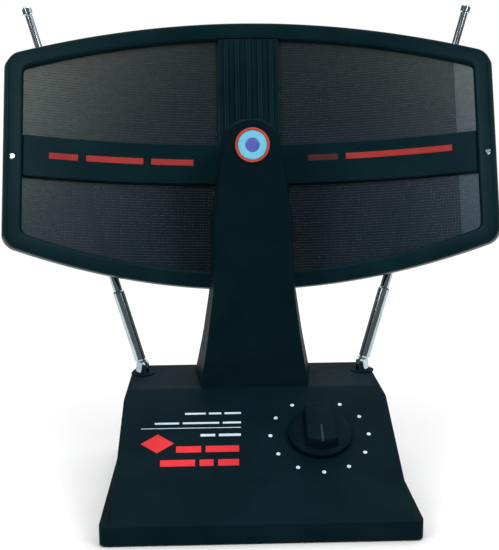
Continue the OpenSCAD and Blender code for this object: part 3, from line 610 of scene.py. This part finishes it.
def face_bar(name, x0, x1, s, height, mat):
    bm = bmesh.new()
    where = on_face((x0 + x1) / 2, s)
    bmesh.ops.create_cube(bm, size=1)
    scale = Matrix.Diagonal((*mm(x1 - x0, height, PRINT_T), 1))
    lift = Matrix.Translation(mm(0, 0, PRINT_MIDDLE))
    bmesh.ops.transform(bm, matrix=where @ lift @ scale, verts=bm.verts)
    return piece(name, bm, mat)


def dashes(x0, x1, widths, gap):
    """Lengths of a broken bar that fills x0 to x1."""
    room = (x1 - x0) - gap * (len(widths) - 1)
    total = sum(widths)
    x = x0
    for w in widths:
        yield x, x + room * w / total
        x += room * w / total + gap


# Name, from, to, distance down the face, height, finish, lengths of the dashes in proportion, gap
FACE_LINES = [
    ("mark_top", -48.7, -10.4, 27.0, 1.7, "white", (5, 3, 4), 2.2),
    ("mark_second", -69.0, -10.6, 36.0, 1.7, "white", (4, 6, 3), 2.4),
    ("mark_rule", -78.0, -10.7, 40.6, 0.55, "white", (1,), 0),
    ("mark_third", -38.0, -11.0, 47.4, 2.2, "white", (2, 3), 2.4),
    ("mark_red_top", -54.0, -12.5, 60.0, 5.6, "red", (3, 4), 3.0),
    ("mark_red_low", -64.0, -12.8, 72.0, 5.6, "red", (5, 2, 3), 3.0),
]
# Plain lozenge: its place across the face and down it, half its width and height, back and front
LOZENGE_X, LOZENGE_S = -66.5, 54.5
LOZENGE_HALF_W, LOZENGE_HALF_H = 11, 8.5
LOZENGE_BACK, LOZENGE_FRONT = 0.01, 0.09


def face_marks():
    for name, x0, x1, s, height, mat, widths, gap in FACE_LINES:
        for i, (a, b) in enumerate(dashes(x0, x1, widths, gap)):
            face_bar(f"{name}_{i + 1}", a, b, s, height, mat)
    bm = bmesh.new()
    where = on_face(LOZENGE_X, LOZENGE_S)
    pts = [(LOZENGE_HALF_W, 0), (0, LOZENGE_HALF_H), (-LOZENGE_HALF_W, 0), (0, -LOZENGE_HALF_H)]
    loops = [[where @ mm(x, y, z) for x, y in pts] for z in (LOZENGE_BACK, LOZENGE_FRONT)]
    rings(bm, loops, closed=False, caps=True)
    piece("mark_lozenge", bm, "red")


# Side, from and to along the curve, height of the middle, and lengths of the dashes in proportion
BAND_LINES = [("left", -147, -42, 1.0, (2, 4, 3)), ("right", 43, 148, 4.0, (2, 7))]
BAND_MARK_HALF_H, BAND_MARK_GAP = 2.2, 6.0
# Depths of the print's front and back, just in front of the band's face
BAND_MARK_T0, BAND_MARK_T1 = 0.72, 0.79


def band_marks():
    for side, a0, a1, h, widths in BAND_LINES:
        low, high = h - BAND_MARK_HALF_H, h + BAND_MARK_HALF_H
        for i, (a, b) in enumerate(dashes(a0, a1, widths, BAND_MARK_GAP)):
            bm = bmesh.new()
            slab(bm, a, b, lambda x: low, lambda x: high, BAND_MARK_T0, BAND_MARK_T1, 10)
            worn = side == "right" and i == 0
            piece(f"band_mark_{side}_{i + 1}", bm, "red_faint" if worn else "red_dim")


# ------------------------------------------------------------------ build
refine("base_housing", 0.8)
refine("column_front", 0.7)
refine("column_back", 0.5)
border_ring("panel_bezel_front", FRONT_PROFILE, "frame", "panel_bezel")
border_ring("panel_frame_back", BACK_PROFILE, "frame", "panel_rear_frame")
bands()
strut()
reflector()
selector()
badge()
face_marks()
band_marks()


# ------------------------------------------------------------------ studio
# Brightness of the room that the object reflects, against 1 for the backdrop
ROOM_LIGHT = 0.16
# Radius of the floor, which ends inside the lamps' pool of light, so that no horizon shows
FLOOR_R = 1.1
# Name, place, size and power of the lamps
LAMPS = [
    ("key", (-1.0, -0.9, 1.1), 0.6, 8),
    ("fill", (1.0, -0.9, 1.1), 0.6, 7),
    ("rim", (0.0, 1.0, 1.4), 0.8, 5),
]
# Soft light from above: strength, spread and tilt
SKY_LIGHT, SKY_SPREAD, SKY_TILT = 2.5, math.radians(100), (math.radians(-12), math.radians(6), 0)
# Camera: its turn, place across and along the design's axes, height above the deck, and lens
PITCH, YAW, ROLL = math.radians(10), math.radians(1.79), math.radians(-0.45)
CAMERA_X, CAMERA_Y, CAMERA_UP = -24.4, -682.6, 200
LENS = 65.45


def studio():
    bm = bmesh.new()
    bmesh.ops.create_circle(bm, cap_ends=True, segments=128, radius=FLOOR_R)
    mesh = bpy.data.meshes.new("floor")
    bm.to_mesh(mesh)
    bm.free()
    floor = bpy.data.objects.new("floor", mesh)
    f = Finish("floor_pale", Specular_IOR_Level=0.2)
    f.colour(f.noise(3, 2), (0.86, 0.86, 0.86), (0.9, 0.9, 0.9)).rough(f.noise(8), 0.8, 0.9)
    mesh.materials.append(f.mat)
    bpy.context.scene.collection.objects.link(floor)

    world = bpy.data.worlds.new("studio")
    world.use_nodes = True
    # the camera sees a white backdrop, and the object a dim even room, which gives chrome its dark edges
    tree = world.node_tree
    path = tree.nodes.new("ShaderNodeLightPath")
    span = tree.nodes.new("ShaderNodeMapRange")
    span.inputs["To Min"].default_value = ROOM_LIGHT
    tree.links.new(path.outputs["Is Camera Ray"], span.inputs["Value"])
    tree.links.new(span.outputs["Result"], tree.nodes["Background"].inputs["Strength"])
    tree.nodes["Background"].inputs["Color"].default_value = (1, 1, 1, 1)
    bpy.context.scene.world = world
    bpy.context.scene.view_settings.view_transform = "Standard"

    target = (cad_box[0] + cad_box[1]) / 2
    for name, spot, size, power in LAMPS:
        light = bpy.data.lights.new(name, "AREA")
        light.size = size
        light.energy = power
        obj = bpy.data.objects.new(name, light)
        obj.location = spot
        obj.rotation_euler = (target - Vector(spot)).to_track_quat("-Z", "Y").to_euler()
        bpy.context.scene.collection.objects.link(obj)
    sky = bpy.data.lights.new("overhead", "SUN")
    sky.energy = SKY_LIGHT
    sky.angle = SKY_SPREAD
    obj = bpy.data.objects.new("overhead", sky)
    obj.rotation_euler = SKY_TILT
    bpy.context.scene.collection.objects.link(obj)


def camera():
    fwd = Vector((math.sin(YAW) * math.cos(PITCH), math.cos(YAW) * math.cos(PITCH), -math.sin(PITCH)))
    right = Vector((math.cos(YAW), -math.sin(YAW), 0))
    up = right.cross(fwd)
    side = math.cos(ROLL) * right + math.sin(ROLL) * up
    top = -math.sin(ROLL) * right + math.cos(ROLL) * up
    data = bpy.data.cameras.new("camera")
    data.lens = LENS
    cam = bpy.data.objects.new("camera", data)
    turn = Matrix((side, top, -fwd)).transposed().to_4x4()
    cam.matrix_world = Matrix.Translation(mm(CAMERA_X, CAMERA_Y + Y_SHIFT, DECK_Z + CAMERA_UP)) @ turn
    bpy.context.scene.collection.objects.link(cam)
    bpy.context.scene.camera = cam


studio()
camera()
